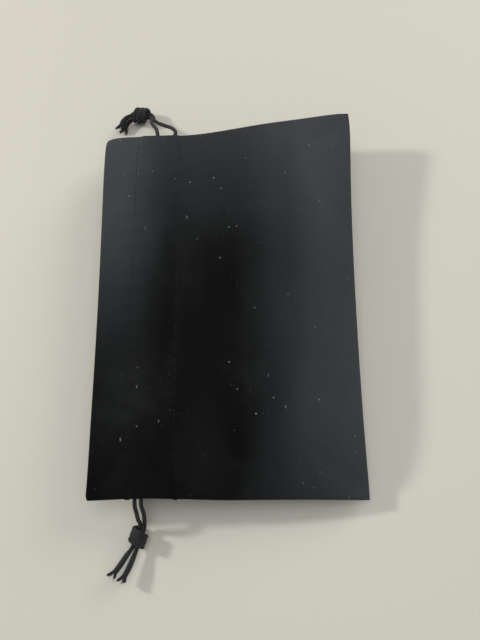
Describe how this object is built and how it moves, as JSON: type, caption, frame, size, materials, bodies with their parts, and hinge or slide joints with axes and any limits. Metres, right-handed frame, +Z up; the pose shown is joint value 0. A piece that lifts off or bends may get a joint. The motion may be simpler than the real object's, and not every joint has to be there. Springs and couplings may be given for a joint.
{
  "type": "drawstring gift pouch",
  "caption": "Soft velvet drawstring pouch lying flat, wide mouth with a turned heading and cord channel, looped cords leaving at opposite sides to overhand knots.",
  "frame": {"origin": "centre of the fabric body's box on the surface that the pouch lies on, the free cord ends left out", "axes": "+X from the mouth to the closed end, +Y along the mouth towards the right side seam, +Z up from the back panel to the front panel"},
  "size_m": [0.1035, 0.1987, 0.024],
  "materials": {
    "velvet": "black cut-pile velvet, matte with a faint cool sheen and lint",
    "cord": "black braided cord, slightly lustrous",
    "thread": "black polyester sewing thread"
  },
  "bodies": {
    "pouch": {"front_panel": "velvet", "back_panel": "velvet", "front_channel_stitching_mouth_side": "thread", "front_channel_stitching_inner_side": "thread", "back_channel_stitching_mouth_side": "thread", "back_channel_stitching_inner_side": "thread", "closed_end_seam_allowance": "velvet", "closed_end_seam_stitching": "thread"},
    "left_side": {"left_seam_allowance": "velvet", "left_seam_stitching": "thread", "left_heading_stitching": "thread", "left_slit_tack_mouth_side": "thread", "left_slit_tack_inner_side": "thread"},
    "right_side": {"right_seam_allowance": "velvet", "right_seam_stitching": "thread", "right_heading_stitching": "thread", "right_slit_tack_mouth_side": "thread", "right_slit_tack_inner_side": "thread"},
    "left_cord": {"left_cord_loop": "cord", "left_strand_front": "cord", "left_strand_back": "cord", "left_knot": "cord", "left_tail_front": "cord", "left_tail_back": "cord"},
    "right_cord": {"right_cord_loop": "cord", "right_strand_front": "cord", "right_strand_back": "cord", "right_knot": "cord", "right_tail_front": "cord", "right_tail_back": "cord"}
  },
  "joints": [
    {"name": "right_cord_pull", "type": "slide", "parent": "pouch", "child": "right_cord", "axis": [0, 1, 0], "range_m": [0, 0.029]},
    {"name": "left_cord_pull", "type": "slide", "parent": "pouch", "child": "left_cord", "axis": [0, -1, 0], "range_m": [0, 0.029]},
    {"name": "left_side_gather", "type": "hinge", "parent": "pouch", "child": "left_side", "pos_m": [0.052, -0.062, 0.013], "axis": [0, 0, -1], "range_deg": [0, 20], "deforming": ["front_panel", "back_panel"]},
    {"name": "right_side_gather", "type": "hinge", "parent": "pouch", "child": "right_side", "pos_m": [0.052, 0.062, 0.013], "axis": [0, 0, 1], "range_deg": [0, 20], "deforming": ["front_panel", "back_panel"]}
  ],
  "couplings": [
    {"joint": "left_side_gather", "follows": "right_cord_pull", "rad_per_m": 12},
    {"joint": "right_side_gather", "follows": "left_cord_pull", "rad_per_m": 12}
  ]
}
